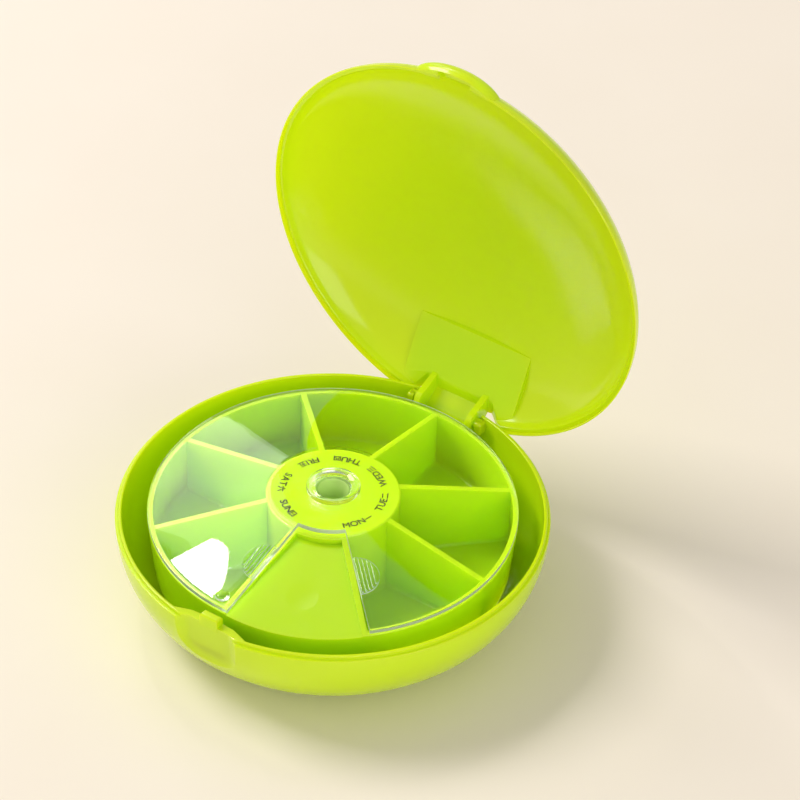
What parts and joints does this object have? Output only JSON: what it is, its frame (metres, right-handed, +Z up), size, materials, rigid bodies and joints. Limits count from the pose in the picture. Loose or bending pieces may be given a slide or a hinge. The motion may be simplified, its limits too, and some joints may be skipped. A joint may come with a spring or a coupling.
{
  "type": "pill organizer",
  "caption": "Round domed travel pill case, lid open, with a compartment tray under a clear turning cover that has one sector-shaped window.",
  "frame": {"origin": "centre of the flat foot under the base", "axes": "+Z up from the foot; the lid's hinge is at +Y and the catch and thumb scoop face -Y"},
  "size_m": [0.09, 0.1022, 0.1098],
  "materials": {
    "case_lime": "glossy moulded lime green",
    "tray_lime": "glossy moulded lime green",
    "clear": "clear glossy plastic"
  },
  "bodies": {
    "base": {"base_shell": "case_lime", "pill_tray": "tray_lime", "centre_rivet": "clear"},
    "lid": {"lid_shell": "case_lime"},
    "cover": {"clear_cover": "clear"}
  },
  "joints": [
    {"name": "lid_hinge", "type": "hinge", "parent": "base", "child": "lid", "pos_m": [0, 0.042, 0.02], "axis": [1, 0, 0], "range_deg": [0, 88]},
    {"name": "cover_turn", "type": "hinge", "parent": "base", "child": "cover", "pos_m": [0, 0, 0.026], "axis": [0, 0, 1], "continuous": true}
  ]
}
